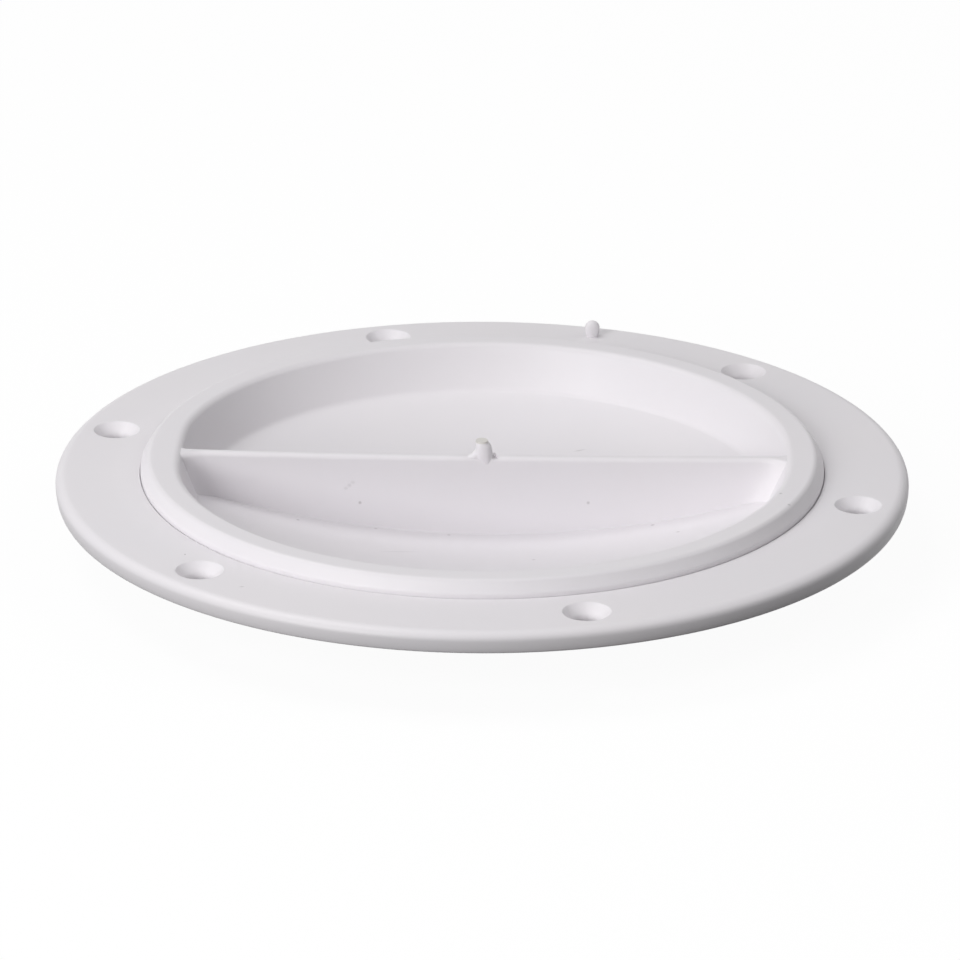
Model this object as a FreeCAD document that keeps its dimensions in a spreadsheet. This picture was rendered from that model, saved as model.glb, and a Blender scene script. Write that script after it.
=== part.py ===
"""Deck inspection plate: a round moulded plate that closes a hand hole in a deck.

It is a deck ring screwed down through six countersunk holes, a dished lid that screws into the
ring by a coarse right-hand thread, and a rubber seal squeezed between the two.

Millimetres. +Z points up out of the deck. The origin lies on the ring's axis, in the plane of
the deck that the flange lies on. The lid's grip web runs along X.
"""
import FreeCAD, Part
import math
import os
import Sketcher

doc = FreeCAD.newDocument("deck_inspection_plate")

# Driving sizes, in millimetres and degrees. The mouth of the dish is the size that the rest is
# set out from: rim, skirt, thread, seal, ring and flange each lie a stated distance further out.
SIZES = (
    # Lid: dished pan
    ("mouth_diameter", 104.0),
    ("mouth_round", 0.5),
    ("wall_lean", 3.5),
    ("wall_depth", 7.3),
    ("pan_sag", 7.2),
    ("lid_wall", 2.2),
    # Lid: rim and skirt
    ("rim_thickness", 2.7),
    ("rim_lip", 0.95),
    ("rim_lip_round", 0.9),
    ("rim_slope_width", 2.0),
    ("rim_slope_round", 0.6),
    ("rim_past_seal", 1.3),
    ("skirt_set_out", 2.0),
    ("skirt_wall", 2.2),
    ("skirt_length", 11.3),
    ("skirt_gap", 0.6),
    # Lid: grip web across the dish
    ("web_thickness", 1.9),
    ("web_end_drop", 0.1),
    ("web_sag", 0.45),
    ("web_edge_round", 0.85),
    ("web_root_round", 0.4),
    # Deck ring
    ("flange_width", 14.15),
    ("flange_thickness", 3.6),
    ("flange_edge_width", 2.6),
    ("flange_foot_round", 0.4),
    ("spigot_wall", 1.2),
    ("spigot_past_skirt", 0.7),
    ("spigot_lead", 0.6),
    # Fixing screws
    ("screw_count", 6.0),
    ("screw_edge_distance", 7.2),
    ("screw_hole_diameter", 4.4),
    ("screw_head_diameter", 8.1),
    ("screw_head_angle", 90.0),
    ("first_screw_angle", 46.5),
    # Thread between lid and ring
    ("thread_pitch", 3.6),
    ("thread_depth", 1.2),
    ("thread_root_width", 1.8),
    ("thread_crest_width", 0.8),
    ("thread_sink", 0.3),
    ("thread_above_foot", 0.9),
    ("thread_below_seat", 1.24),
    # Seal
    ("seal_cord_diameter", 2.8),
    ("seal_squeeze", 0.3),
    # Clearances between lid, ring and seal
    ("rim_seat_depth", 0.2),
    ("rim_clearance", 0.25),
    ("step_clearance", 0.3),
    ("bore_clearance", 0.35),
    ("flank_clearance", 0.2),
    ("crest_clearance", 0.35),
    ("thread_end_angle", 12.0),
    ("seal_clearance", 0.2),
    # Stubs that the mould's gates left
    ("web_gate_diameter", 2.7),
    ("web_gate_height", 2.9),
    ("web_gate_depth", 2.3),
    ("web_gate_offset", 0.3),
    ("web_gate_taper", 0.3),
    ("ring_gate_diameter", 2.4),
    ("ring_gate_height", 2.2),
    ("ring_gate_round", 0.9),
    ("ring_gate_angle", 74.0),
    ("ring_gate_edge_distance", 6.5),
)

# Two places nearer than this are the same place
TINY = 0.0001

sizes = doc.addObject("Spreadsheet::Sheet", "sizes")
for row, (alias, number) in enumerate(SIZES, start=1):
    sizes.set(f"A{row}", alias)
    sizes.set(f"B{row}", str(number))
    sizes.setAlias(f"B{row}", alias)
doc.recompute()


def value(expression):
    """The number that an expression has now."""
    return float(sizes.evalExpression(expression))


def new_body(label):
    body = doc.addObject("PartDesign::Body", label)
    body.Label = label
    return body


def origin_feature(body, role):
    """One of the body's own origin planes or axes."""
    return next(f for f in body.Origin.OriginFeatures if f.Role == role)


def new_sketch(body, name, role="XZ_Plane"):
    """A sketch on an origin plane. On XZ its own x and y run along X and Z."""
    sketch = body.newObject("Sketcher::SketchObject", name)
    sketch.AttachmentSupport = (origin_feature(body, role), [""])
    sketch.MapMode = "FlatFace"
    return sketch


def bind(sketch, constraint, expression):
    """Adds a constraint whose size follows an expression."""
    index = sketch.addConstraint(constraint)
    sketch.setExpression(f"Constraints[{index}]", expression)


def arc_centre(start, end, radius, side):
    """The centre of the arc from start to end. Side 1 is to the left of that way, -1 to the right."""
    middle = (start + end) / 2
    chord = end - start
    reach = math.sqrt(max(radius**2 - (chord.Length / 2) ** 2, 0.0))
    left = FreeCAD.Vector(-chord.y, chord.x, 0) / chord.Length
    return middle + left * reach * side


def draw_edge(sketch, start, end, radius, side):
    """Draws one edge and returns its number and the numbers of its first and last point."""
    if radius is None:
        return sketch.addGeometry(Part.LineSegment(start, end), False), 1, 2
    size = value(radius)
    centre = arc_centre(start, end, size, side)
    first, last = (start, end) if side > 0 else (end, start)
    angles = [math.atan2(p.y - centre.y, p.x - centre.x) for p in (first, last)]
    circle = Part.Circle(centre, FreeCAD.Vector(0, 0, 1), size)
    edge = sketch.addGeometry(Part.ArcOfCircle(circle, *angles), False)
    bind(sketch, Sketcher.Constraint("Radius", edge, size), radius)
    return (edge, 1, 2) if side > 0 else (edge, 2, 1)


def draw_outline(sketch, corners):
    """Draws a closed outline whose corners are bound to the sheet of sizes.

    Each corner is (x, y) in expressions. A corner may add (radius, side) of the arc that leads to
    it, as arc_centre takes them. A line that keeps the last corner's x or y is made upright or level.
    """
    corners = [corner if len(corner) == 4 else (*corner, None, 0) for corner in corners]
    points = [FreeCAD.Vector(value(x), value(y), 0) for x, y, _, _ in corners]
    edges = [
        draw_edge(sketch, points[i - 1], points[i], radius, side)
        for i, (_, _, radius, side) in enumerate(corners)
    ]
    for i, (x, y, radius, _) in enumerate(corners):
        edge, _, end = edges[i]
        following, head, _ = edges[(i + 1) % len(edges)]
        sketch.addConstraint(Sketcher.Constraint("Coincident", edge, end, following, head))
        last_x, last_y = corners[i - 1][:2] if i and radius is None else (None, None)
        if x == "0":
            sketch.addConstraint(Sketcher.Constraint("PointOnObject", edge, end, -2))
        elif x == last_x:
            sketch.addConstraint(Sketcher.Constraint("Vertical", edge))
        else:
            bind(sketch, Sketcher.Constraint("DistanceX", -1, 1, edge, end, points[i].x), x)
        if y == "0":
            sketch.addConstraint(Sketcher.Constraint("PointOnObject", edge, end, -1))
        elif y == last_y:
            sketch.addConstraint(Sketcher.Constraint("Horizontal", edge))
        else:
            bind(sketch, Sketcher.Constraint("DistanceY", -1, 1, edge, end, points[i].y), y)


def draw_disc(sketch, circle_radius, angle, radius):
    """A disc in a level sketch, on a circle round the plate's axis and at an angle from X."""
    x = f"{circle_radius} * cos({angle} * 1 deg)"
    y = f"{circle_radius} * sin({angle} * 1 deg)"
    centre = FreeCAD.Vector(value(x), value(y), 0)
    circle = sketch.addGeometry(Part.Circle(centre, FreeCAD.Vector(0, 0, 1), value(radius)), False)
    bind(sketch, Sketcher.Constraint("DistanceX", -1, 1, circle, 3, centre.x), x)
    bind(sketch, Sketcher.Constraint("DistanceY", -1, 1, circle, 3, centre.y), y)
    bind(sketch, Sketcher.Constraint("Radius", circle, value(radius)), radius)


def revolve(body, name, sketch):
    """Turns a sketch's outline a full turn about its upright axis."""
    feature = body.newObject("PartDesign::Revolution", name)
    feature.Profile = sketch
    feature.ReferenceAxis = (sketch, ["V_Axis"])
    feature.Angle = 360.0
    sketch.Visibility = False


def sweep_thread(body, name, sketch, kind, turns):
    """Sweeps a thread's section along a right-hand helix, which climbs from that section."""
    helix = body.newObject(f"PartDesign::{kind}", name)
    helix.Profile = sketch
    helix.ReferenceAxis = (sketch, ["V_Axis"])
    helix.Mode = "pitch-turns-angle"
    helix.Reversed = False
    helix.LeftHanded = False
    helix.setExpression("Pitch", "sizes.thread_pitch")
    helix.setExpression("Turns", turns)
    sketch.Visibility = False


def round_edges(body, name, radius, chosen):
    """Rounds the edges of a body's last feature whose boxes are chosen."""
    doc.recompute()
    base = body.Tip
    edges = [f"Edge{i}" for i, e in enumerate(base.Shape.Edges, start=1) if chosen(e.BoundBox)]
    fillet = body.newObject("PartDesign::Fillet", name)
    fillet.Base = (base, edges)
    fillet.setExpression("Radius", radius)


# Radii, from the dish's mouth outwards
MOUTH_RADIUS = "(sizes.mouth_diameter / 2)"
CREASE_RADIUS = f"({MOUTH_RADIUS} - sizes.wall_lean)"
SKIRT_RADIUS = f"({MOUTH_RADIUS} + sizes.skirt_set_out)"
THREAD_ROOT = f"({SKIRT_RADIUS} - sizes.thread_sink)"
THREAD_CREST = f"({SKIRT_RADIUS} + sizes.thread_depth)"
BORE_RADIUS = f"({SKIRT_RADIUS} + sizes.bore_clearance)"
SEAL_OUTSIDE = f"({SKIRT_RADIUS} + sizes.seal_cord_diameter)"
RIM_RADIUS = f"({SEAL_OUTSIDE} + sizes.rim_past_seal)"
STEP_RADIUS = f"({RIM_RADIUS} + sizes.rim_clearance)"
FLANGE_RADIUS = f"({STEP_RADIUS} + sizes.flange_width)"
PAN_RADIUS = f"(({CREASE_RADIUS} ^ 2 + sizes.pan_sag ^ 2) / (2 * sizes.pan_sag))"

# Heights above the deck
RIM_UNDERSIDE = "(sizes.flange_thickness - sizes.rim_seat_depth)"
STEP_FLOOR = f"({RIM_UNDERSIDE} - sizes.step_clearance)"
SEAL_HEIGHT = "(sizes.seal_cord_diameter - sizes.seal_squeeze)"
SEAL_SEAT = f"({RIM_UNDERSIDE} - {SEAL_HEIGHT})"
RIM_LIP_TOP = f"({RIM_UNDERSIDE} + sizes.rim_lip)"
LID_TOP = f"({RIM_UNDERSIDE} + sizes.rim_thickness)"
CREASE_LEVEL = f"({LID_TOP} - sizes.wall_depth)"
PAN_LEVEL = f"({CREASE_LEVEL} - sizes.pan_sag)"
SKIRT_FOOT = f"({LID_TOP} - sizes.skirt_length)"
SPIGOT_FOOT = f"({SKIRT_FOOT} - sizes.spigot_past_skirt)"
THREAD_FOOT = f"({SKIRT_FOOT} + sizes.thread_above_foot)"


# Deck ring
def make_deck_ring():
    """The moulded ring: a flange on the deck, a spigot through it and two steps for lid and seal."""
    body = new_body("deck_ring")
    sketch = new_sketch(body, "ring_section")
    groove = f"({SEAL_OUTSIDE} + sizes.seal_clearance)"
    spigot = f"({groove} + sizes.spigot_wall)"
    # The flange's edge is one arc, upright at its foot, that meets the flat top at a slight angle
    edge_height = "(sizes.flange_thickness - sizes.flange_foot_round)"
    edge_width = f"min(sizes.flange_edge_width; {edge_height})"
    edge_arc = f"(({edge_width} ^ 2 + {edge_height} ^ 2) / (2 * {edge_width}))"
    draw_outline(
        sketch,
        [
            (BORE_RADIUS, SPIGOT_FOOT),
            (f"{spigot} - sizes.spigot_lead", SPIGOT_FOOT),
            (spigot, f"{SPIGOT_FOOT} + sizes.spigot_lead"),
            (spigot, "0"),
            (f"{FLANGE_RADIUS} - sizes.flange_foot_round", "0"),
            (FLANGE_RADIUS, "sizes.flange_foot_round", "sizes.flange_foot_round", 1),
            (f"{FLANGE_RADIUS} - {edge_width}", "sizes.flange_thickness", edge_arc, 1),
            (STEP_RADIUS, "sizes.flange_thickness"),
            (STEP_RADIUS, STEP_FLOOR),
            (groove, STEP_FLOOR),
            (groove, SEAL_SEAT),
            (BORE_RADIUS, SEAL_SEAT),
        ],
    )
    revolve(body, "ring_turn", sketch)
    cut_thread(body)
    drill_screw_holes(body)
    add_ring_gate(body)
    return body


def draw_thread(sketch, crest, clearance, level):
    """The section of a ridge, or of the groove that clears it, about the height called level."""
    root_reach = f"(sizes.thread_root_width / 2 + {clearance})"
    crest_reach = f"(sizes.thread_crest_width / 2 + {clearance})"
    draw_outline(
        sketch,
        [
            (THREAD_ROOT, f"{level} - {root_reach}"),
            (crest, f"{level} - {crest_reach}"),
            (crest, f"{level} + {crest_reach}"),
            (THREAD_ROOT, f"{level} + {root_reach}"),
        ],
    )


def cut_thread(body):
    """The groove that the lid's ridge runs in: blind at its foot and open at the seal's seat."""
    sketch = new_sketch(body, "ring_thread_section")
    start_turn = FreeCAD.Rotation(FreeCAD.Vector(0, 1, 0), -value("sizes.thread_end_angle"))
    sketch.AttachmentOffset = FreeCAD.Placement(FreeCAD.Vector(), start_turn)
    sketch.setExpression("AttachmentOffset.Rotation.Angle", "-sizes.thread_end_angle")
    foot = f"({THREAD_FOOT} - sizes.thread_pitch * sizes.thread_end_angle / 360)"
    crest = f"({THREAD_CREST} + sizes.crest_clearance)"
    draw_thread(sketch, crest, "sizes.flank_clearance", foot)
    # One pitch past the seat, so that the groove runs out into the open step above it
    climb = f"({SEAL_SEAT} - {THREAD_FOOT} + sizes.thread_pitch)"
    sweep_thread(body, "ring_thread", sketch, "SubtractiveHelix", f"{climb} / sizes.thread_pitch")


def drill_screw_holes(body):
    """Countersunk holes spaced evenly round the flange, drilled down from its top."""
    circle_radius = f"({FLANGE_RADIUS} - sizes.screw_edge_distance)"
    sketch = new_sketch(body, "screw_hole_place", "XY_Plane")
    sketch.setExpression("AttachmentOffset.Base.z", "sizes.flange_thickness")
    draw_disc(sketch, circle_radius, "sizes.first_screw_angle", "sizes.screw_hole_diameter / 2")
    doc.recompute()
    hole = body.newObject("PartDesign::Hole", "screw_hole")
    hole.Profile = sketch
    hole.DepthType = "ThroughAll"
    hole.HoleCutType = "Countersink"
    hole.setExpression("Diameter", "sizes.screw_hole_diameter")
    hole.setExpression("HoleCutDiameter", "sizes.screw_head_diameter")
    hole.setExpression("HoleCutCountersinkAngle", "sizes.screw_head_angle")
    sketch.Visibility = False
    pattern = body.newObject("PartDesign::PolarPattern", "screw_holes")
    pattern.Originals = [hole]
    pattern.Axis = (origin_feature(body, "Z_Axis"), [""])
    pattern.Angle = 360.0
    pattern.setExpression("Occurrences", "sizes.screw_count")
    body.Tip = pattern


def add_ring_gate(body):
    """The round-topped stub of the mould's gate, left on the flange between two screw holes."""
    sketch = new_sketch(body, "ring_gate_place", "XY_Plane")
    sketch.setExpression("AttachmentOffset.Base.z", "sizes.flange_thickness")
    circle_radius = f"({FLANGE_RADIUS} - sizes.ring_gate_edge_distance)"
    draw_disc(sketch, circle_radius, "sizes.ring_gate_angle", "sizes.ring_gate_diameter / 2")
    pad = body.newObject("PartDesign::Pad", "ring_gate")
    pad.Profile = sketch
    pad.setExpression("Length", "sizes.ring_gate_height")
    sketch.Visibility = False
    top = value("sizes.flange_thickness + sizes.ring_gate_height")
    round_edges(
        body,
        "ring_gate_top",
        "min(sizes.ring_gate_round; 0.4 * sizes.ring_gate_diameter)",
        lambda box: abs(box.ZMin - top) < TINY and abs(box.ZMax - top) < TINY,
    )


# Lid
def make_screw_lid():
    """The moulded lid: a rim over the ring's step, a dished pan, a web and a threaded skirt."""
    body = new_body("screw_lid")
    add_web(body)
    turn_lid(body)
    round_rim(body)
    crease = value(CREASE_LEVEL)
    round_edges(
        body,
        "web_root",
        "sizes.web_root_round",
        lambda box: on_web_side(box) and box.ZMin < crease - TINY,
    )
    add_web_gate(body)
    add_thread(body)
    return body


def add_web(body):
    """The grip web: a thin wall across the dish, sunk half a wall deep into pan and rim."""
    sketch = new_sketch(body, "web_outline")
    sink = "(sizes.lid_wall / 2)"
    end = f"({MOUTH_RADIUS} + {sink})"
    top = f"({LID_TOP} - sizes.web_end_drop)"
    top_radius = f"(({end} ^ 2 + sizes.web_sag ^ 2) / (2 * sizes.web_sag))"
    foot = f"({CREASE_LEVEL} - {sink})"
    shoulder = f"({CREASE_RADIUS} + {sink})"
    draw_outline(
        sketch,
        [
            (f"-{end}", top, top_radius, -1),
            (f"-{shoulder}", CREASE_LEVEL),
            (f"-{CREASE_RADIUS}", foot),
            (CREASE_RADIUS, foot, PAN_RADIUS, 1),
            (shoulder, CREASE_LEVEL),
            (end, top),
        ],
    )
    pad = body.newObject("PartDesign::Pad", "web")
    pad.Profile = sketch
    pad.SideType = "Symmetric"
    pad.setExpression("Length", "sizes.web_thickness")
    sketch.Visibility = False
    crease = value(CREASE_LEVEL)
    round_edges(
        body,
        "web_top",
        "min(sizes.web_edge_round; 0.45 * sizes.web_thickness)",
        lambda box: on_web_side(box) and box.ZMin > crease + TINY,
    )


def on_web_side(box):
    """Whether an edge with this box lies in one of the web's two flat sides."""
    side = value("sizes.web_thickness / 2")
    return box.YLength < TINY and abs(abs(box.YMin) - side) < TINY


def turn_lid(body):
    """Rim, dished pan and skirt, turned from one section."""
    sketch = new_sketch(body, "lid_section")
    lean = "(sizes.wall_lean / sizes.wall_depth)"
    lean_angle = f"atan({lean})"
    mouth_arc = f"(sizes.mouth_round / tan((90 deg - {lean_angle}) / 2))"
    skirt_inside = f"({SKIRT_RADIUS} - sizes.skirt_wall)"
    # The underside keeps the wall's thickness. Its corner lies on the line that halves the crease
    gap_radius = f"({skirt_inside} - sizes.skirt_gap)"
    under_wall = f"(sizes.lid_wall / cos({lean_angle}))"
    gap_level = f"({CREASE_LEVEL} + ({gap_radius} - {under_wall} - {CREASE_RADIUS}) / {lean})"
    crease_tilt = f"((90 deg - {lean_angle} + asin({CREASE_RADIUS} / {PAN_RADIUS})) / 2)"
    corner_radius = f"({CREASE_RADIUS} + sizes.lid_wall * sin({crease_tilt}))"
    under_radius = f"({PAN_RADIUS} + sizes.lid_wall)"
    pan_centre = f"({PAN_LEVEL} + {PAN_RADIUS})"
    corner_level = f"({pan_centre} - sqrt({under_radius} ^ 2 - {corner_radius} ^ 2))"
    draw_outline(
        sketch,
        [
            ("0", PAN_LEVEL),
            (CREASE_RADIUS, CREASE_LEVEL, PAN_RADIUS, 1),
            (
                f"{MOUTH_RADIUS} - sizes.mouth_round * sin({lean_angle})",
                f"{LID_TOP} - sizes.mouth_round * cos({lean_angle})",
            ),
            (f"{MOUTH_RADIUS} + sizes.mouth_round", LID_TOP, mouth_arc, -1),
            (f"{RIM_RADIUS} - sizes.rim_slope_width", LID_TOP),
            (RIM_RADIUS, RIM_LIP_TOP),
            (RIM_RADIUS, RIM_UNDERSIDE),
            (SKIRT_RADIUS, RIM_UNDERSIDE),
            (SKIRT_RADIUS, SKIRT_FOOT),
            (skirt_inside, SKIRT_FOOT),
            (skirt_inside, gap_level),
            (gap_radius, gap_level),
            (corner_radius, corner_level),
            ("0", f"{PAN_LEVEL} - sizes.lid_wall", under_radius, -1),
        ],
    )
    revolve(body, "lid_turn", sketch)


def round_rim(body):
    """Rounds the top and the foot of the slope that runs round the rim."""
    slope_top = (value(f"{RIM_RADIUS} - sizes.rim_slope_width"), value(LID_TOP))
    slope_foot = (value(RIM_RADIUS), value(RIM_LIP_TOP))
    for name, radius, place in (
        ("rim_slope_top", "sizes.rim_slope_round", slope_top),
        ("rim_slope_foot", "min(sizes.rim_lip_round; sizes.rim_lip)", slope_foot),
    ):
        round_edges(body, name, radius, lambda box, place=place: is_ring(box, *place))


def is_ring(box, radius, level):
    """Whether an edge with this box is a level circle of that radius about the plate's axis."""
    flat = abs(box.ZMin - level) < TINY and abs(box.ZMax - level) < TINY
    return flat and abs(box.XMax - radius) < TINY and abs(box.XMin + radius) < TINY


def add_web_gate(body):
    """The stub of the mould's gate: a round peg on the middle of the web, tapering into its sides."""
    sketch = new_sketch(body, "web_gate_section")
    sketch.setExpression("AttachmentOffset.Base.x", "sizes.web_gate_offset")
    web_top = f"({LID_TOP} - sizes.web_end_drop - sizes.web_sag)"
    radius = "(sizes.web_gate_diameter / 2)"
    draw_outline(
        sketch,
        [
            ("0", f"{web_top} - sizes.web_gate_depth"),
            (radius, f"{web_top} - sizes.web_gate_depth / 2"),
            (radius, f"{web_top} + sizes.web_gate_height / 3"),
            (f"({radius} - sizes.web_gate_taper)", f"{web_top} + sizes.web_gate_height"),
            ("0", f"{web_top} + sizes.web_gate_height"),
        ],
    )
    revolve(body, "web_gate", sketch)


def add_thread(body):
    """The lid's thread: a coarse ridge round the skirt, from near its foot to below the seal."""
    sketch = new_sketch(body, "lid_thread_section")
    draw_thread(sketch, THREAD_CREST, "0", THREAD_FOOT)
    climb = f"({SEAL_SEAT} - sizes.thread_below_seat - {THREAD_FOOT})"
    sweep_thread(body, "lid_thread", sketch, "AdditiveHelix", f"{climb} / sizes.thread_pitch")


# Seal
def make_seal_ring():
    """The rubber cord ring round the lid's skirt, squeezed flat between rim and ring."""
    body = new_body("seal_ring")
    sketch = new_sketch(body, "seal_section")
    cord_radius = "(sizes.seal_cord_diameter / 2)"
    flat = f"sqrt({cord_radius} ^ 2 - ({SEAL_HEIGHT} / 2) ^ 2)"
    middle = f"({SKIRT_RADIUS} + {cord_radius})"
    draw_outline(
        sketch,
        [
            (f"{middle} - {flat}", SEAL_SEAT, cord_radius, 1),
            (f"{middle} + {flat}", SEAL_SEAT),
            (f"{middle} + {flat}", RIM_UNDERSIDE, cord_radius, 1),
            (f"{middle} - {flat}", RIM_UNDERSIDE),
        ],
    )
    revolve(body, "seal_turn", sketch)
    return body


def check(pieces):
    """Stops the build if any object failed or any piece isn't one whole solid."""
    failed = [o.Name for o in doc.Objects if "Invalid" in o.State or "Error" in o.State]
    if failed:
        raise RuntimeError(f"these objects failed: {failed}")
    for piece in pieces:
        if piece.Shape.isNull() or not piece.Shape.isValid() or len(piece.Shape.Solids) != 1:
            raise RuntimeError(f"{piece.Label} isn't one valid solid")


pieces = [make_deck_ring(), make_seal_ring(), make_screw_lid()]
doc.recompute()
check(pieces)
os.makedirs("parts", exist_ok=True)
for piece in pieces:
    piece.Shape.exportStep(f"parts/{piece.Label}.step")
    print(piece.Label, round(piece.Shape.Volume, 2), "cubic millimetres")
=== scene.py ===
"""Deck inspection plate: the looks of its deck ring, seal and screw lid.

Sizes are written in millimetres. +Z points up out of the deck, and the lid's grip web runs
along X.
"""
import math
import random

import bmesh
import bpy
from mathutils import Matrix, Vector


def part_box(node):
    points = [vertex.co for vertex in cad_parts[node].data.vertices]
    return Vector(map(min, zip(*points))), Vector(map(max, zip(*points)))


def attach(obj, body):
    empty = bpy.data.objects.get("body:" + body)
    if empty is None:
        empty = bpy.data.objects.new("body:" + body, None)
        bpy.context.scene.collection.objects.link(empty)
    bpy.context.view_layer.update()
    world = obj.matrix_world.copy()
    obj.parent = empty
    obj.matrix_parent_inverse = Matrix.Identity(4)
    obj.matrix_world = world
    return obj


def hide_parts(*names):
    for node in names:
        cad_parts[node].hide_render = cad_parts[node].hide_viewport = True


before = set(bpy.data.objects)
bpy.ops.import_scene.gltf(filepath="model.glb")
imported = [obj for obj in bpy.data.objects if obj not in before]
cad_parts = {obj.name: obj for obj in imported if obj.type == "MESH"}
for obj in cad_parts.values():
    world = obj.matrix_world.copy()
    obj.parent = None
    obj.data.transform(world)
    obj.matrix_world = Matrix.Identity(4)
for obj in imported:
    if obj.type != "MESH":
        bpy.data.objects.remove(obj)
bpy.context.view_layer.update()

# Deck ring
# One injection moulding in satin white plastic. Its flange lies on the deck and takes six
# countersunk screws, its spigot drops through the cut-out, and its bore carries a coarse thread.
MM = 0.001

ring_low, ring_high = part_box("deck_ring")
FLANGE_RADIUS = ring_high.x / MM
SPIGOT_FOOT = ring_low.z / MM
FLANGE_TOP = 3.6
FLANGE_NOSE = 2.1
FLANGE_FOOT_TUCK = 0.5
FLANGE_EDGE_WIDTH = 1.9
STEP_RADIUS = 58.2
STEP_FLOOR = 3.1
SEAL_GROOVE_RADIUS = 57.0
SEAL_SEAT = 0.9
SPIGOT_RADIUS = 58.2
SPIGOT_LEAD = 0.6
SPIGOT_ROUND = 0.2
STEP_ROUND = 0.12
INSIDE_ROUND = 0.1
BORE_RADIUS = 54.35
SEGMENTS = 360

SCREW_COUNT = 6
SCREW_CIRCLE_RADIUS = 65.3
SCREW_HOLE_RADIUS = 2.1
SCREW_HEAD_RADIUS = 3.98
SCREW_HEAD_ROUND = 0.3
SCREW_CONE_ROUND = 1.8
FIRST_SCREW_ANGLE = 46.5

THREAD_PITCH = 3.6
THREAD_FOOT = -4.3
THREAD_ROOT = 53.7
THREAD_CREST = 55.2
THREAD_ROOT_WIDTH = 1.8
THREAD_CREST_WIDTH = 0.8
FLANK_CLEARANCE = 0.2
CREST_CLEARANCE = 0.35
GROOVE_LEAD_ANGLE = 12.0

RING_GATE_ANGLE = 74.3
RING_GATE_CIRCLE = 66.6
BROAD_WAVES = 0.75
FINE_WAVES = 0.06


class Wire:
    """One output in a tree of nodes. Arithmetic on wires adds the Math nodes for it."""

    def __init__(self, tree, socket=None):
        self.tree = tree
        self.socket = socket

    def node(self, kind, settings=None, inputs=None, output=0):
        """Adds a node: its settings first, then the values or wires of its sockets."""
        made = self.tree.nodes.new(kind)
        for name, setting in (settings or {}).items():
            setattr(made, name, setting)
        for name, items in (inputs or {}).items():
            for item in items if isinstance(items, list) else [items]:
                if isinstance(item, Wire):
                    self.tree.links.new(item.socket, made.inputs[name])
                else:
                    made.inputs[name].default_value = item
        return Wire(self.tree, made.outputs[output]) if made.outputs else None

    def math(self, operation, *others):
        inputs = dict(enumerate((self, *others)))
        return self.node("ShaderNodeMath", {"operation": operation}, inputs)

    def __add__(self, other):
        return self.math("ADD", other)

    def __sub__(self, other):
        return self.math("SUBTRACT", other)

    def __rsub__(self, other):
        return self.node("ShaderNodeMath", {"operation": "SUBTRACT"}, {0: other, 1: self})

    def __mul__(self, other):
        return self.math("MULTIPLY", other)

    __radd__ = __add__
    __rmul__ = __mul__


class Recipe:
    """A Geometry Nodes tree with named inputs, which turns an object's own data into a mesh."""

    def __init__(self, name):
        self.tree = bpy.data.node_groups.new(name, "GeometryNodeTree")
        sockets = self.tree.interface
        sockets.new_socket("Geometry", in_out="OUTPUT", socket_type="NodeSocketGeometry")
        self.entry = self.tree.nodes.new("NodeGroupInput")
        self.values = {}
        self.start = self.input("Section", "NodeSocketGeometry")

    def input(self, name, kind, value=None):
        socket = self.tree.interface.new_socket(name, in_out="INPUT", socket_type=kind)
        if value is not None:
            self.values[socket.identifier] = value
        return Wire(self.tree, self.entry.outputs[name])

    def size(self, name, number):
        return self.input(name, "NodeSocketFloat", number * MM)

    def count(self, name, number):
        return self.input(name, "NodeSocketInt", number)

    def solid(self, name, piece):
        """A mesh object that the tree takes in as it is."""
        given = self.input(name, "NodeSocketObject", piece)
        return given.node("GeometryNodeObjectInfo", {}, {"Object": given}, "Geometry")

    def make(self, name, data, result, material):
        """Runs the tree on new data and returns a plain mesh object."""
        result = result.node("GeometryNodeRealizeInstances", {}, {0: result})
        finished = {"Geometry": result, "Material": material}
        result = result.node("GeometryNodeSetMaterial", {}, finished)
        exit_node = self.tree.nodes.new("NodeGroupOutput")
        self.tree.links.new(result.socket, exit_node.inputs[0])
        maker = bpy.data.objects.new(name, data)
        bpy.context.scene.collection.objects.link(maker)
        modifier = maker.modifiers.new(self.tree.name, "NODES")
        modifier.node_group = self.tree
        for identifier, value in self.values.items():
            modifier[identifier] = value
        graph = bpy.context.evaluated_depsgraph_get()
        mesh = bpy.data.meshes.new_from_object(maker.evaluated_get(graph))
        bpy.data.objects.remove(maker)
        return plain_piece(name, mesh)


def plain_piece(name, mesh, sharp_angle=34):
    """An object of its own for a finished mesh, smooth but for its sharp edges."""
    mesh.shade_smooth()
    mesh.set_sharp_from_angle(angle=math.radians(sharp_angle))
    piece = bpy.data.objects.new(name, mesh)
    bpy.context.scene.collection.objects.link(piece)
    return piece


def turned_by(vector, angle):
    """A flat vector turned anticlockwise by an angle in radians."""
    cosine, sine = math.cos(angle), math.sin(angle)
    return Vector((vector.x * cosine - vector.y * sine, vector.x * sine + vector.y * cosine))


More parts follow.
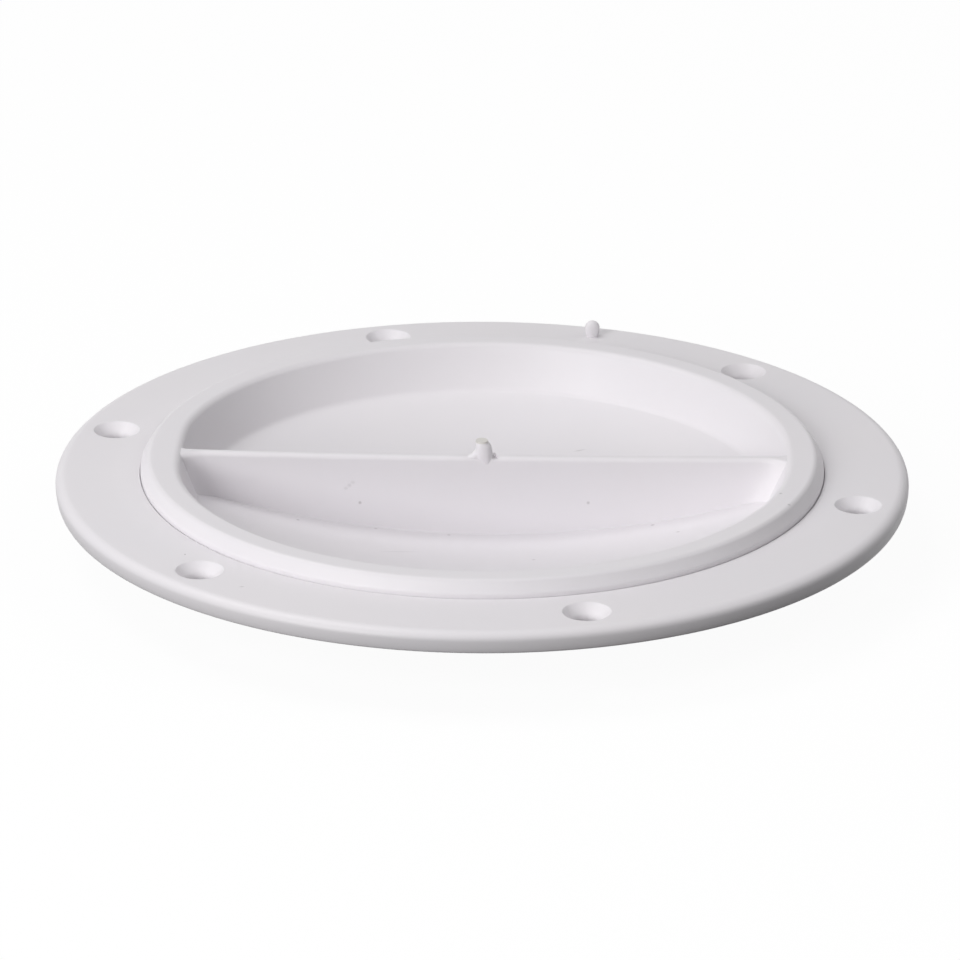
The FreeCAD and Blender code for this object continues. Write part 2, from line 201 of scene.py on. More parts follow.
def rounded(corners, edge_loop=0.15, steps=8):
    """The points of a closed section whose corners are (radius, height, rounding).

    A point near each end of a long side keeps that side flat where it is shaded.
    """
    points = []
    for i, (radius, height, rounding) in enumerate(corners):
        here = Vector((radius, height))
        back = Vector(corners[i - 1][:2]) - here
        on = Vector(corners[(i + 1) % len(corners)][:2]) - here
        turn = math.pi - back.angle(on)
        reach = rounding * math.tan(turn / 2)
        back_way, on_way = back.normalized(), on.normalized()
        sharp = turn > 0.2 and radius > 0
        if sharp and reach + edge_loop < back.length / 2:
            points.append(here + back_way * (reach + edge_loop))
        if rounding:
            centre = here + (back_way + on_way).normalized() * (rounding / math.cos(turn / 2))
            spoke = here + back_way * reach - centre
            side = 1 if back.cross(on) < 0 else -1
            angles = [side * turn * k / steps for k in range(steps + 1)]
            points += [centre + turned_by(spoke, angle) for angle in angles]
        else:
            points.append(here)
        if sharp and reach + edge_loop < on.length / 2:
            points.append(here + on_way * (reach + edge_loop))
    return points


# A section is drawn beside a circle of this radius, and swept round it
PATH_RADIUS = 100.0


def section_curve(name, points):
    """A curve through a section's points, which run anticlockwise as (radius, height).

    It is closed, unless it runs from the axis to the axis.
    """
    curve = bpy.data.curves.new(name, "CURVE")
    curve.dimensions = "3D"
    spline = curve.splines.new("POLY")
    spline.points.add(len(points) - 1)
    for point, (radius, height) in zip(spline.points, reversed(points)):
        point.co = ((radius - PATH_RADIUS) * MM, -height * MM, 0, 1)
    spline.use_cyclic_u = points[0][0] > 0
    return curve


def turned(recipe):
    """The recipe's own section, swept once round the upright axis."""
    weld = 0.002 * MM
    circle = {"Resolution": recipe.count("Segments", SEGMENTS), "Radius": PATH_RADIUS * MM}
    path = recipe.start.node("GeometryNodeCurvePrimitiveCircle", {}, circle)
    sweep = {"Curve": path, "Profile Curve": recipe.start}
    shell = path.node("GeometryNodeCurveToMesh", {}, sweep)
    return shell.node("GeometryNodeMergeByDistance", {}, {"Geometry": shell, "Distance": weld})


def moved(shape, place, turn=0.0):
    """Turns a shape about the upright axis by degrees, then moves it by millimetres."""
    shift = {
        "Geometry": shape,
        "Translation": tuple(axis * MM for axis in place),
        "Rotation": (0.0, 0.0, math.radians(turn)),
    }
    return shape.node("GeometryNodeTransform", {}, shift)


def without(solid, cutter):
    exact = {"operation": "DIFFERENCE", "solver": "EXACT"}
    return solid.node("GeometryNodeMeshBoolean", exact, {"Mesh 1": solid, "Mesh 2": cutter})


def united(*solids):
    exact = {"operation": "UNION", "solver": "EXACT"}
    return solids[0].node("GeometryNodeMeshBoolean", exact, {"Mesh 2": list(solids)})


def stub(name, levels, sides=32, unevenness=0.03, seed=4):
    """A peg built up in rings. Each level is (x, y, z, half width, half depth)."""
    chance = random.Random(seed)
    shape = bmesh.new()
    rings = []
    for x, y, z, half_width, half_depth in levels:
        ring = []
        for side in range(sides):
            angle = math.tau * side / sides
            swell = 1 + chance.uniform(-unevenness, unevenness)
            east = x + half_width * swell * math.cos(angle)
            north = y + half_depth * swell * math.sin(angle)
            ring.append(shape.verts.new([axis * MM for axis in (east, north, z)]))
        rings.append(ring)
    for lower, upper in zip(rings, rings[1:]):
        for side in range(sides):
            after = (side + 1) % sides
            shape.faces.new((lower[side], lower[after], upper[after], upper[side]))
    shape.faces.new(reversed(rings[0]))
    shape.faces.new(rings[-1])
    mesh = bpy.data.meshes.new(name)
    shape.to_mesh(mesh)
    shape.free()
    return bpy.data.objects.new(name, mesh)


def screw_drill():
    """The cutter of one screw hole: a bore and a 90 degree countersink, with soft edges."""
    deep, proud, lip = 1.0, 1.0, 0.01
    cone_foot = FLANGE_TOP - (SCREW_HEAD_RADIUS - SCREW_HOLE_RADIUS)
    section = rounded(
        [
            (0.0, -deep, 0.0),
            (SCREW_HOLE_RADIUS, -deep, 0.0),
            (SCREW_HOLE_RADIUS, cone_foot, SCREW_CONE_ROUND),
            (SCREW_HEAD_RADIUS, FLANGE_TOP, SCREW_HEAD_ROUND),
            (SCREW_HEAD_RADIUS + proud, FLANGE_TOP + lip, 0.0),
            (SCREW_HEAD_RADIUS + proud, FLANGE_TOP + proud, 0.0),
            (0.0, FLANGE_TOP + proud, 0.0),
        ]
    )
    levels = [(0.0, 0.0, height, radius, radius) for radius, height in section[1:-1]]
    return stub("screw_drill", levels, sides=SEGMENTS // 3, unevenness=0.0)


def drilled(solid, recipe):
    """A ring of holes for countersunk screws."""
    circle = {
        "Vertices": recipe.count("Screw count", SCREW_COUNT),
        "Radius": recipe.size("Screw circle radius", SCREW_CIRCLE_RADIUS),
    }
    places = solid.node("GeometryNodeMeshCircle", {}, circle)
    places = moved(places, (0, 0, 0), FIRST_SCREW_ANGLE)
    drills = {"Points": places, "Instance": recipe.solid("Screw drill", screw_drill())}
    drills = solid.node("GeometryNodeInstanceOnPoints", {}, drills)
    return without(solid, drills.node("GeometryNodeRealizeInstances", {}, {0: drills}))


def thread_sweep(recipe, turns, foot, start_angle, clearance, depth):
    """A thread's ridge, or the groove that clears it, climbing from foot as a right-hand helix."""
    section_sizes = {
        "Height": depth * MM,
        "Bottom Width": (THREAD_ROOT_WIDTH + 2 * clearance) * MM,
        "Top Width": (THREAD_CREST_WIDTH + 2 * clearance) * MM,
        "Offset": 0.0,
    }
    section = recipe.start.node(
        "GeometryNodeCurvePrimitiveQuadrilateral", {"mode": "TRAPEZOID"}, section_sizes
    )
    section = moved(section, (depth / 2, 0, 0), -90)
    spiral_sizes = {
        "Resolution": recipe.count("Thread segments per turn", SEGMENTS // 2),
        "Rotations": turns,
        "Start Radius": THREAD_ROOT * MM,
        "End Radius": THREAD_ROOT * MM,
        "Height": recipe.size("Thread pitch", THREAD_PITCH) * turns,
        "Reverse": True,
    }
    spiral = section.node("GeometryNodeCurveSpiral", {}, spiral_sizes)
    spiral = moved(spiral, (0, 0, foot), start_angle)
    spiral = spiral.node("GeometryNodeSetCurveNormal", {"mode": "Z_UP"}, {"Curve": spiral})
    sweep = {"Curve": spiral, "Profile Curve": section, "Fill Caps": True}
    return spiral.node("GeometryNodeCurveToMesh", {}, sweep)


def moulded_plastic(name, seed, marks, shaded_top_level=None):
    """White plastic as it leaves a polished mould: satin gloss, faint waves, specks and marks.

    Each mark is its place, its half sizes, its turn in degrees and its darkness. Above a level,
    the top of the broken gate stub is painted greyer, as painted shade.
    """
    material = bpy.data.materials.new(name)
    material.use_nodes = True
    tree = material.node_tree
    tree.nodes.clear()
    object_place = Wire(tree).node("ShaderNodeTexCoord", {}, {}, "Object")
    place = object_place.node(
        "ShaderNodeVectorMath", {"operation": "ADD"}, {0: object_place, 1: (seed, seed / 3, 0.0)}
    )

    def noise(scale, detail=2.0, distortion=0.0):
        sizes = {"Vector": place, "Scale": scale, "Detail": detail, "Distortion": distortion}
        return place.node("ShaderNodeTexNoise", {}, sizes)

    def mixed(factor, first, second):
        shades = {0: factor, 6: first, 7: second}
        return factor.node("ShaderNodeMix", {"data_type": "RGBA"}, shades, 2)

    def inside_mark(centre, half_sizes, turn):
        spot = {
            "Vector": object_place,
            "Location": tuple(axis * MM for axis in centre),
            "Rotation": (0.0, 0.0, math.radians(turn)),
            "Scale": tuple(size * MM for size in half_sizes),
        }
        spot = object_place.node("ShaderNodeMapping", {"vector_type": "TEXTURE"}, spot)
        away = spot.node("ShaderNodeVectorMath", {"operation": "LENGTH"}, {0: spot}, "Value")
        faded_out = 1.3
        return (faded_out - away).math("MAXIMUM", 0.0).math("MINIMUM", 1.0)

    cool_white = (0.798, 0.776, 0.808, 1.0)
    warm_white = (0.810, 0.782, 0.804, 1.0)
    speck_grey = (0.30, 0.28, 0.29, 1.0)
    stub_top_shade_grey = (0.70, 0.68, 0.65, 1.0)
    colour = mixed(noise(38.0), cool_white, warm_white)
    # About one cell in four has a speck at its middle
    grid = {"Vector": place, "Scale": 95.0, "Randomness": 1.0}
    from_middle = place.node("ShaderNodeTexVoronoi", {}, grid)
    chance = place.node("ShaderNodeTexVoronoi", {}, grid, "Color")
    chance = chance.node("ShaderNodeSeparateColor", {}, {"Color": chance}, 0)
    speck = from_middle.math("LESS_THAN", 0.016) * chance.math("GREATER_THAN", 0.72)
    colour = mixed(speck * 0.7, colour, speck_grey)
    for *spot, darkness in marks:
        colour = mixed(inside_mark(*spot) * darkness, colour, speck_grey)
    # Painted shade: above a level the gate stub's broken top is greyer
    if shaded_top_level is not None:
        height = object_place.node("ShaderNodeSeparateXYZ", {}, {0: object_place}, "Z")
        colour = mixed(height.math("GREATER_THAN", shaded_top_level * MM), colour, stub_top_shade_grey)
    roughness = 0.36 + noise(240.0, 3.0) * 0.10
    waves = noise(55.0, 1.0) * BROAD_WAVES + noise(900.0, 2.0) * FINE_WAVES
    relief = {"Height": waves, "Strength": 0.25, "Distance": 0.4 * MM}
    bump = waves.node("ShaderNodeBump", {}, relief)
    shader = bump.node(
        "ShaderNodeBsdfPrincipled",
        {},
        {
            "Base Color": colour,
            "Roughness": roughness,
            "Normal": bump,
            "IOR": 1.5,
            "Specular IOR Level": 0.25,
        },
    )
    shader.node("ShaderNodeOutputMaterial", {}, {"Surface": shader})
    return material


ring_recipe = Recipe("deck_ring_turning")
ring_solid = turned(ring_recipe)
# One turn more than the bore is high, so that the groove runs out at the seal's seat
groove_turns = (SEAL_SEAT - THREAD_FOOT) / THREAD_PITCH + 1
groove = thread_sweep(
    ring_recipe,
    groove_turns,
    THREAD_FOOT - THREAD_PITCH * GROOVE_LEAD_ANGLE / 360,
    -GROOVE_LEAD_ANGLE,
    FLANK_CLEARANCE,
    THREAD_CREST + CREST_CLEARANCE - THREAD_ROOT,
)
ring_solid = without(ring_solid, groove)
ring_solid = drilled(ring_solid, ring_recipe)
gate_x = RING_GATE_CIRCLE * math.cos(math.radians(RING_GATE_ANGLE))
gate_y = RING_GATE_CIRCLE * math.sin(math.radians(RING_GATE_ANGLE))
# Thin from front to back, with a rounded outline
ring_gate = stub(
    "ring_gate",
    [
        (gate_x, gate_y, FLANGE_TOP - 0.5, 0.95, 0.65),
        (gate_x, gate_y, FLANGE_TOP + 0.15, 1.00, 0.70),
        (gate_x, gate_y, FLANGE_TOP + 0.7, 1.20, 0.78),
        (gate_x, gate_y, FLANGE_TOP + 1.3, 1.28, 0.78),
        (gate_x, gate_y, FLANGE_TOP + 1.9, 1.30, 0.74),
        (gate_x, gate_y, FLANGE_TOP + 2.4, 1.12, 0.62),
        (gate_x, gate_y, FLANGE_TOP + 2.8, 0.80, 0.45),
        (gate_x, gate_y, FLANGE_TOP + 3.0, 0.35, 0.22),
    ],
    unevenness=0.02,
)
ring_solid = united(ring_solid, ring_recipe.solid("Gate stub", ring_gate))


def flange_quarter(width, height, angles):
    """Points of the flange's edge on an ellipse, at angles in degrees above its widest circle."""
    turns = [math.radians(angle) for angle in angles]
    return [
        (FLANGE_RADIUS - width * (1 - math.cos(a)), FLANGE_NOSE + height * math.sin(a), 0.0)
        for a in turns
    ]


# The flange's edge is tucked in at its foot, and rolls over from its nose to its top face
flange_foot = flange_quarter(FLANGE_FOOT_TUCK, FLANGE_NOSE, [k * 15 - 90 for k in range(7)])
flange_roll = flange_quarter(
    FLANGE_EDGE_WIDTH, FLANGE_TOP - FLANGE_NOSE, [k * 7.5 for k in range(1, 13)]
)
ring_section = rounded(
    [
        (BORE_RADIUS, SPIGOT_FOOT, SPIGOT_ROUND),
        (SPIGOT_RADIUS - SPIGOT_LEAD, SPIGOT_FOOT, SPIGOT_ROUND),
        (SPIGOT_RADIUS, SPIGOT_FOOT + SPIGOT_LEAD, SPIGOT_ROUND),
        (SPIGOT_RADIUS, 0.0, 0.0),
        *flange_foot,
        *flange_roll,
        (STEP_RADIUS, FLANGE_TOP, STEP_ROUND),
        (STEP_RADIUS, STEP_FLOOR, INSIDE_ROUND),
        (SEAL_GROOVE_RADIUS, STEP_FLOOR, INSIDE_ROUND),
        (SEAL_GROOVE_RADIUS, SEAL_SEAT, INSIDE_ROUND),
        (BORE_RADIUS, SEAL_SEAT, INSIDE_ROUND),
    ]
)
# A short scratch on the flange
RING_MARKS = [((-37.6, -54.3, 3.6), (0.45, 0.16, 0.5), 10.0, 0.45)]
ring_plastic = moulded_plastic("ring_plastic", 0.31, RING_MARKS)
ring_curve = section_curve("ring_section", ring_section)
ring = ring_recipe.make("ring_moulding", ring_curve, ring_solid, ring_plastic)
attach(ring, "ring")
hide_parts("deck_ring")

# Seal
# A ring of black rubber cord round the lid's skirt. The lid's rim squeezes it flat against the
# ring's inner step.
seal_low, seal_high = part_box("seal_ring")
CORD_RADIUS = 1.4
SEAL_RADIUS = seal_high.x / MM - CORD_RADIUS
seal_half_height = (seal_high.z - seal_low.z) / MM / 2
seal_middle = (seal_high.z + seal_low.z) / MM / 2
edge_angle = math.asin(seal_half_height / CORD_RADIUS)


def seal_side(centre_angle, steps=12):
    """The round side of the squeezed cord, about an outward or inward direction."""
    angles = [centre_angle - edge_angle + 2 * edge_angle * k / steps for k in range(steps + 1)]
    return [
        (SEAL_RADIUS + CORD_RADIUS * math.cos(a), seal_middle + CORD_RADIUS * math.sin(a))
        for a in angles
    ]


def rubber(name):
    """Black seal rubber: matt, faintly mottled."""
    material = bpy.data.materials.new(name)
    material.use_nodes = True
    tree = material.node_tree
    tree.nodes.clear()
    place = Wire(tree).node("ShaderNodeTexCoord", {}, {}, "Object")
    bloom = place.node("ShaderNodeTexNoise", {}, {"Vector": place, "Scale": 300.0, "Detail": 3.0})
    grain = place.node("ShaderNodeTexNoise", {}, {"Vector": place, "Scale": 3500.0, "Detail": 2.0})
    shades = {0: bloom, 6: (0.022, 0.022, 0.024, 1.0), 7: (0.042, 0.041, 0.042, 1.0)}
    colour = bloom.node("ShaderNodeMix", {"data_type": "RGBA"}, shades, 2)
    relief = {"Height": grain, "Strength": 0.3, "Distance": 0.05 * MM}
    bump = grain.node("ShaderNodeBump", {}, relief)
    shader = bump.node(
        "ShaderNodeBsdfPrincipled",
        {},
        {"Base Color": colour, "Roughness": 0.55 + bloom * 0.2, "Normal": bump},
    )
    shader.node("ShaderNodeOutputMaterial", {}, {"Surface": shader})
    return material


seal_recipe = Recipe("seal_turning")
seal_solid = turned(seal_recipe)
seal_section = seal_side(0.0) + seal_side(math.pi)
seal = seal_recipe.make(
    "seal_cord", section_curve("seal_section", seal_section), seal_solid, rubber("seal_rubber")
)
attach(seal, "seal")
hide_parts("seal_ring")

# Screw lid
# One moulding in the same plastic: a flat rim over the ring's step, a dished pan, a thin web
# across it to grip, and a skirt below with a thread. The stub of the mould's gate is on the web.
lid_low, lid_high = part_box("screw_lid")
RIM_RADIUS = lid_high.x / MM
LID_TOP = 6.45
RIM_UNDERSIDE = 3.4
RIM_LIP_TOP = 4.35
RIM_LIP_ROUND = 0.9
RIM_SLOPE_TOP = 56.7
RIM_SLOPE_ROUND = 1.1
MOUTH_RADIUS = 52.5
MOUTH_ROUND = 1.5
MOUTH_PULL_LEFT = 1.1
MOUTH_PULL_RIGHT = 0.6
MOUTH_PULL_SPREAD = 11.0
CREASE_RADIUS = 48.5
CREASE_LEVEL = -1.2
CREASE_ROUND = 1.4
LID_WALL = 2.2
PAN_BOTTOM = lid_low.z / MM
PAN_LEVEL = PAN_BOTTOM + LID_WALL
PAN_SAG = CREASE_LEVEL - PAN_LEVEL
PAN_RADIUS = (CREASE_RADIUS**2 + PAN_SAG**2) / (2 * PAN_SAG)
PAN_CENTRE = PAN_LEVEL + PAN_RADIUS
UNDER_CORNER = 49.94
SKIRT_RADIUS = 54.0
SKIRT_INSIDE = 51.8
SKIRT_FOOT = -5.2
SKIRT_GAP = 0.6
SKIRT_INSIDE_ROUND = 0.2
SKIRT_OUTSIDE_ROUND = 0.3
RIM_UNDER_ROUND = 0.15
RIDGE_TURNS = 1.1

WEB_THICKNESS = 1.9
# Above this height the gate stub's top is painted greyer, as painted shade
GATE_TOP_SHADE_LEVEL = 8.15
WEB_END_TOP = 6.1
WEB_SAG = 0.45
WEB_EDGE_ROUND = 0.85
WEB_ROOT_ROUND = 0.15
WEB_FRONT_BLEND = (4.5, 1.2)
WEB_BACK_BLEND = (1.5, 1.0)
WEB_SINK = 0.6
WEB_END = MOUTH_RADIUS + WEB_SINK


def pan_height(radius, wall=0.0):
    """The height of the pan's upper face, or of its underside if the wall is given."""
    return PAN_CENTRE - math.sqrt((PAN_RADIUS + wall) ** 2 - radius**2)


def lid_section():
    """The lid's half section, anticlockwise from the middle of its underside to its top."""
    shares = [k / 40 for k in range(41)]
    inside = SKIRT_INSIDE - SKIRT_GAP
    lean = (MOUTH_RADIUS - CREASE_RADIUS) / (LID_TOP - CREASE_LEVEL)
    under_wall = LID_WALL / math.cos(math.atan(lean))
    gap_level = CREASE_LEVEL + (inside - under_wall - CREASE_RADIUS) / lean
    beside_crease = CREASE_RADIUS - 1.0
    underside = [(UNDER_CORNER * s, pan_height(UNDER_CORNER * s, LID_WALL), 0.0) for s in shares]
    pan = [(beside_crease * s, pan_height(beside_crease * s), 0.0) for s in reversed(shares)]
    return rounded(
        [
            *underside,
            (inside, gap_level, 0.0),
            (SKIRT_INSIDE, gap_level, 0.0),
            (SKIRT_INSIDE, SKIRT_FOOT, SKIRT_INSIDE_ROUND),
            (SKIRT_RADIUS, SKIRT_FOOT, SKIRT_OUTSIDE_ROUND),
            (SKIRT_RADIUS, RIM_UNDERSIDE, RIM_UNDER_ROUND),
            (RIM_RADIUS, RIM_UNDERSIDE, RIM_UNDER_ROUND),
            (RIM_RADIUS, RIM_LIP_TOP, RIM_LIP_ROUND),
            (RIM_SLOPE_TOP, LID_TOP, RIM_SLOPE_ROUND),
            (MOUTH_RADIUS, LID_TOP, MOUTH_ROUND),
            (CREASE_RADIUS, CREASE_LEVEL, CREASE_ROUND),
            *pan,
        ]
    )


def web_top(x):
    """The height of the web's top edge, which sags a little towards its middle."""
    sag = WEB_SAG * (1 - (x / WEB_END) ** 2)
    return WEB_END_TOP - sag


def smooth_step(share):
    share = min(max(share, 0.0), 1.0)
    return share**2 * (3 - 2 * share)


def bowl_height(x):
    """The height of the pan, or of the wall outside it, along the web."""
    if abs(x) < CREASE_RADIUS:
        return pan_height(x)
    slope = (LID_TOP - CREASE_LEVEL) / (MOUTH_RADIUS - CREASE_RADIUS)
    return CREASE_LEVEL + (abs(x) - CREASE_RADIUS) * slope


def wall_distance(x, z):
    """How far a place on the web is from the dish's wall, which the web's end pulls in."""
    lean = math.atan2(MOUTH_RADIUS - CREASE_RADIUS, LID_TOP - CREASE_LEVEL)
    pull = MOUTH_PULL_LEFT if x < 0 else MOUTH_PULL_RIGHT
    pull *= smooth_step((z - CREASE_LEVEL) / (LID_TOP - CREASE_LEVEL))
    wall_radius = CREASE_RADIUS + (z - CREASE_LEVEL) * math.tan(lean) - pull
    return (wall_radius - abs(x)) * math.cos(lean)


def flare(distance, size):
    """What a fillet of a size adds at a distance from the face that it runs into."""
    left = size - min(max(distance, 0.0), size)
    return size - math.sqrt(size**2 - left**2)


def web_half_thickness(x, z, blend):
    """Half the web's thickness at a place on it: rounded at its top and blended into the bowl.

    A blend is how far it reaches from the wall and how steep it is there.
    """
    reach, slope = blend
    near_wall = 1 - min(max(wall_distance(x, z) / reach, 0.0), 1.0)
    at_wall = reach * slope / 3 * near_wall**3
    at_pan = flare(PAN_RADIUS - math.hypot(x, z - PAN_CENTRE), WEB_ROOT_ROUND)
    return WEB_THICKNESS / 2 + max(at_wall, at_pan) - flare(web_top(x) - z, WEB_EDGE_ROUND)


def pulled_in(shell):
    """Draws the mouth of the dish in at the web's ends, as the web did when it shrank."""
    place = shell.node("GeometryNodeInputPosition")
    x, y, z = (place.node("ShaderNodeSeparateXYZ", {}, {0: place}, axis) for axis in range(3))

    def between(value, low, high):
        limits = {"Value": value, "From Min": low * MM, "From Max": high * MM}
        return value.node("ShaderNodeMapRange", {"interpolation_type": "SMOOTHSTEP"}, limits)

    high_up = between(z, CREASE_LEVEL, LID_TOP)
    radius = (x * x + y * y).math("SQRT")
    off_rim = between(radius, RIM_SLOPE_TOP, MOUTH_RADIUS)
    in_line = (y * y * (-1 / (MOUTH_PULL_SPREAD * MM) ** 2)).math("EXPONENT")
    on_left = x.math("LESS_THAN", 0.0)
    pull = on_left * (MOUTH_PULL_LEFT + MOUTH_PULL_RIGHT) * MM - MOUTH_PULL_RIGHT * MM
    shift = x.node("ShaderNodeCombineXYZ", {}, {"X": pull * high_up * off_rim * in_line})
    return shell.node("GeometryNodeSetPosition", {}, {"Geometry": shell, "Offset": shift})


def web_solid():
    """The web as a closed shell whose foot and ends lie inside the lid's wall."""
    columns, rows = 260, 44
    sink = 0.5
    shape = bmesh.new()
    loops = []
    for i in range(columns + 1):
        x = -WEB_END * math.cos(math.pi * i / columns)
        top = web_top(x)
        foot = min(bowl_height(x), top) - sink
        shares = [(1 - math.cos(math.pi * k / rows)) / 2 for k in range(rows + 1)]
        heights = [foot + (top - foot) * share for share in shares]
        front = [(x, -web_half_thickness(x, z, WEB_FRONT_BLEND), z) for z in heights]
        back = [(x, web_half_thickness(x, z, WEB_BACK_BLEND), z) for z in reversed(heights)]
        loops.append([shape.verts.new([axis * MM for axis in place]) for place in front + back])
    count = len(loops[0])
    for left, right in zip(loops, loops[1:]):
        for k in range(count):
            after = (k + 1) % count
            shape.faces.new((left[k], right[k], right[after], left[after]))
    shape.faces.new(loops[0])
    shape.faces.new(reversed(loops[-1]))
    mesh = bpy.data.meshes.new("web")
    bmesh.ops.recalc_face_normals(shape, faces=shape.faces)
    shape.to_mesh(mesh)
    shape.free()
    return bpy.data.objects.new("web", mesh)


web_gate = stub(
    "web_gate",
    [
        (0.85, 0.00, 3.8, 0.30, 0.60),
        (0.75, -0.05, 4.5, 0.78, 0.98),
        (0.50, -0.05, 5.2, 1.25, 1.36),
        (0.35, -0.05, 5.6, 1.46, 1.42),
        (0.30, -0.05, 6.3, 1.48, 1.42),
        (0.22, -0.05, 7.2, 1.38, 1.38),
        (0.14, 0.00, 7.75, 1.28, 1.32),
        (-0.04, 0.00, 7.95, 1.10, 1.22),
        (-0.08, 0.05, 8.42, 1.04, 1.16),
    ],
    seed=9,
)
web_gusset = stub(
    "web_gusset",
    [
        (-0.9, 0.0, 4.9, 2.30, 0.60),
        (-0.9, 0.0, 5.40, 2.15, 0.85),
        (-0.75, 0.0, 5.65, 1.70, 0.90),
        (-0.5, 0.0, 5.95, 1.35, 0.95),
        (-0.3, 0.0, 6.40, 1.15, 0.95),
        (-0.1, 0.0, 6.90, 1.05, 0.90),
    ],
    unevenness=0.01,
)
# Beside the stub a chip is missing from the web's top edge, and a crumb stands behind it
web_nick = stub("web_nick", [(2.25, -0.5, 5.25, 0.50, 0.70), (2.15, -0.4, 6.2, 0.55, 0.75)])
web_crumb = stub("web_crumb", [(2.15, 0.3, 5.2, 0.22, 0.25), (2.1, 0.3, 6.0, 0.22, 0.22)])
lid_recipe = Recipe("screw_lid_turning")
lid_solid = pulled_in(turned(lid_recipe))
ridge = thread_sweep(lid_recipe, RIDGE_TURNS, THREAD_FOOT, 0.0, 0.0, THREAD_CREST - THREAD_ROOT)
lid_solid = united(
    lid_solid,
    ridge,
    lid_recipe.solid("Web", web_solid()),
    lid_recipe.solid("Gate stub", web_gate),
    lid_recipe.solid("Gate gusset", web_gusset),
)
lid_solid = without(lid_solid, lid_recipe.solid("Nick", web_nick))
lid_solid = united(lid_solid, lid_recipe.solid("Crumb", web_crumb))
# Specks and two scratches in the pan, two nicks on the rim, a scratch and specks on the web
LID_MARKS = [
    ((-31.3, -2.9, -5.4), (0.30, 0.25, 0.8), 0.0, 0.5),
    ((-18.1, -1.5, -7.6), (0.35, 0.30, 0.4), 0.0, 0.4),
    ((-5.6, -1.8, -8.3), (0.30, 0.25, 0.8), 0.0, 0.45),
    ((9.1, -14.2, -7.5), (0.35, 0.25, 0.8), 0.0, 0.4),
    ((29.1, -2.2, -5.8), (0.35, 0.30, 0.8), 0.0, 0.5),
    ((33.4, -7.5, -4.9), (0.35, 0.25, 0.8), 0.0, 0.45),
    ((-13.5, -11.7, -7.4), (3.2, 0.14, 1.0), 14.0, 0.25),
    ((16.3, 29.8, -4.9), (1.0, 0.18, 1.0), 10.0, 0.3),
    ((50.4, -17.6, 6.4), (0.30, 0.30, 0.8), 0.0, 0.5),
    ((51.7, -22.5, 6.4), (0.30, 0.30, 0.8), 0.0, 0.45),
    ((-23.2, -0.95, -0.3), (0.38, 0.3, 0.32), 0.0, 0.16),
    ((-22.6, -0.95, 0.25), (0.38, 0.3, 0.36), 0.0, 0.2),
    ((-22.0, -0.95, 0.8), (0.38, 0.3, 0.32), 0.0, 0.16),
    ((-20.8, -0.95, -2.9), (0.28, 0.3, 0.28), 0.0, 0.5),
    ((18.1, -0.95, -2.4), (0.28, 0.3, 0.28), 0.0, 0.4),
]
lid_plastic = moulded_plastic("lid_plastic", 0.77, LID_MARKS, GATE_TOP_SHADE_LEVEL)
lid_curve = section_curve("lid_section", lid_section())
lid = lid_recipe.make("lid_moulding", lid_curve, lid_solid, lid_plastic)
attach(lid, "lid")
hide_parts("screw_lid")

# Studio
# A white floor just under the dish, a soft lamp low at the front left, a weaker one high at the
# left and one at the right, and a pale room.
FLOOR_RADIUS = 4.0
FLOOR_GAP = 0.02
FLOOR_WHITE = (0.86, 0.86, 0.86, 1.0)
FLOOR_BOUNCE = (0.06, 0.06, 0.06, 1.0)
FLOOR_GLOW = 1.015
FLOOR_SHADOW = 0.06
ROOM_STRENGTH = 0.15
LAMP_DISTANCE = 1.1
LAMP_SIZE = 0.55


def seen_directly(tree):
    """1 where a ray comes from the camera, a reflection or clear material, and 0 elsewhere."""
    light_path = tree.nodes.new("ShaderNodeLightPath")
    seen = Wire(tree, light_path.outputs["Is Camera Ray"])
    for name in ("Is Glossy Ray", "Is Transmission Ray"):
        seen = seen.math("MAXIMUM", Wire(tree, light_path.outputs[name]))
    return seen


def make_floor():
    level = lid_low.z - FLOOR_GAP * MM
    bpy.ops.mesh.primitive_circle_add(
        vertices=96, radius=FLOOR_RADIUS, fill_type="NGON", location=(0, 0, level)
    )
    floor = bpy.context.object
    floor.name = "floor"
    material = bpy.data.materials.new("floor_white")
    material.use_nodes = True
    tree = material.node_tree
    tree.nodes.clear()
    seen = seen_directly(tree)
    # It looks white, but throws little light back up on the plate
    shades = {0: seen, 6: FLOOR_BOUNCE, 7: FLOOR_WHITE}
    colour = seen.node("ShaderNodeMix", {"data_type": "RGBA"}, shades, 2)
    plain = seen.node("ShaderNodeBsdfDiffuse", {}, {"Color": colour})
    white = seen.node("ShaderNodeEmission", {}, {"Color": (1, 1, 1, 1), "Strength": FLOOR_GLOW})
    mix = seen.node("ShaderNodeMixShader", {}, {0: seen * (1 - FLOOR_SHADOW), 1: plain, 2: white})
    mix.node("ShaderNodeOutputMaterial", {}, {"Surface": mix})
    floor.data.materials.append(material)


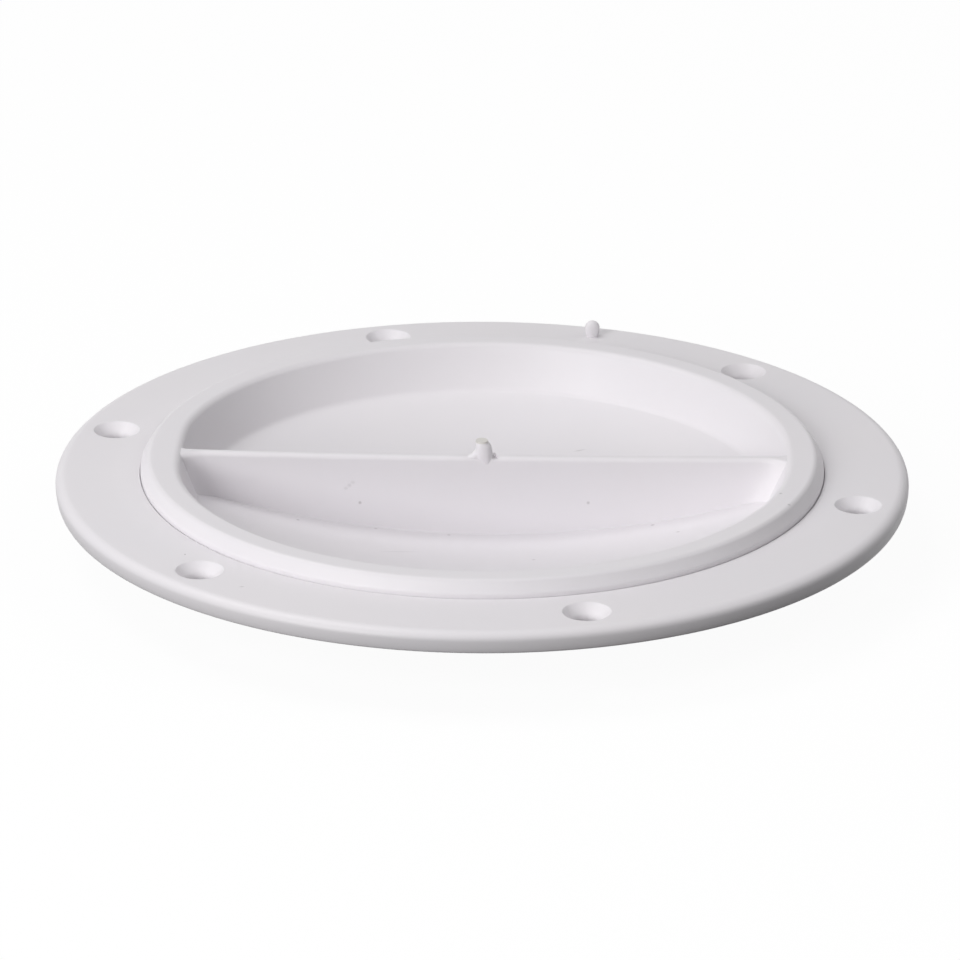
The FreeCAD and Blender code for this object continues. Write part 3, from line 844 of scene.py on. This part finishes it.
def make_room():
    room = bpy.data.worlds.new("room")
    room.use_nodes = True
    tree = room.node_tree
    tree.nodes.clear()
    strength = seen_directly(tree) * (1 - ROOM_STRENGTH) + ROOM_STRENGTH
    light = strength.node("ShaderNodeBackground", {}, {"Color": (1, 1, 1, 1), "Strength": strength})
    light.node("ShaderNodeOutputWorld", {}, {"Surface": light})
    bpy.context.scene.world = room


def direction(azimuth, elevation):
    """The way out from the origin that two angles in degrees give."""
    a, e = math.radians(azimuth), math.radians(elevation)
    return Vector((math.cos(a) * math.cos(e), math.sin(a) * math.cos(e), math.sin(e)))


def make_lamp(name, azimuth, elevation, power):
    """A square soft lamp aimed at the plate from a direction round it, in degrees."""
    lamp = bpy.data.objects.new(name, bpy.data.lights.new(name, "AREA"))
    lamp.data.size = LAMP_SIZE
    lamp.data.energy = power
    way = direction(azimuth, elevation)
    lamp.location = way * LAMP_DISTANCE
    lamp.rotation_euler = way.to_track_quat("Z", "Y").to_euler()
    bpy.context.scene.collection.objects.link(lamp)


make_floor()
make_room()
make_lamp("key", azimuth=232.5, elevation=25.0, power=7.5)
make_lamp("top_left", azimuth=165.0, elevation=63.0, power=4.2)
make_lamp("right_fill", azimuth=0.0, elevation=45.0, power=2.2)

# Camera
# It looks down at the plate from the front, from far enough away for a long lens.
CAMERA_AZIMUTH = -88.5
CAMERA_ELEVATION = 21.72
CAMERA_ROLL = 0.17
CAMERA_DISTANCE = 1090.0
CAMERA_TARGET = Vector((-0.37, 0.0, 1.15))
CAMERA_LENS = 240.0

camera = bpy.data.objects.new("camera", bpy.data.cameras.new("camera"))
camera.data.sensor_width = 36.0
camera.data.lens = CAMERA_LENS
camera.data.clip_start = 0.05
camera.data.clip_end = 20.0
backwards = direction(CAMERA_AZIMUTH, CAMERA_ELEVATION)
camera.location = (CAMERA_TARGET + backwards * CAMERA_DISTANCE) * MM
upright = backwards.to_track_quat("Z", "Y").to_matrix()
camera.rotation_euler = (upright @ Matrix.Rotation(math.radians(CAMERA_ROLL), 3, "Z")).to_euler()
bpy.context.scene.collection.objects.link(camera)
bpy.context.scene.camera = camera
bpy.context.scene.view_settings.view_transform = "Standard"
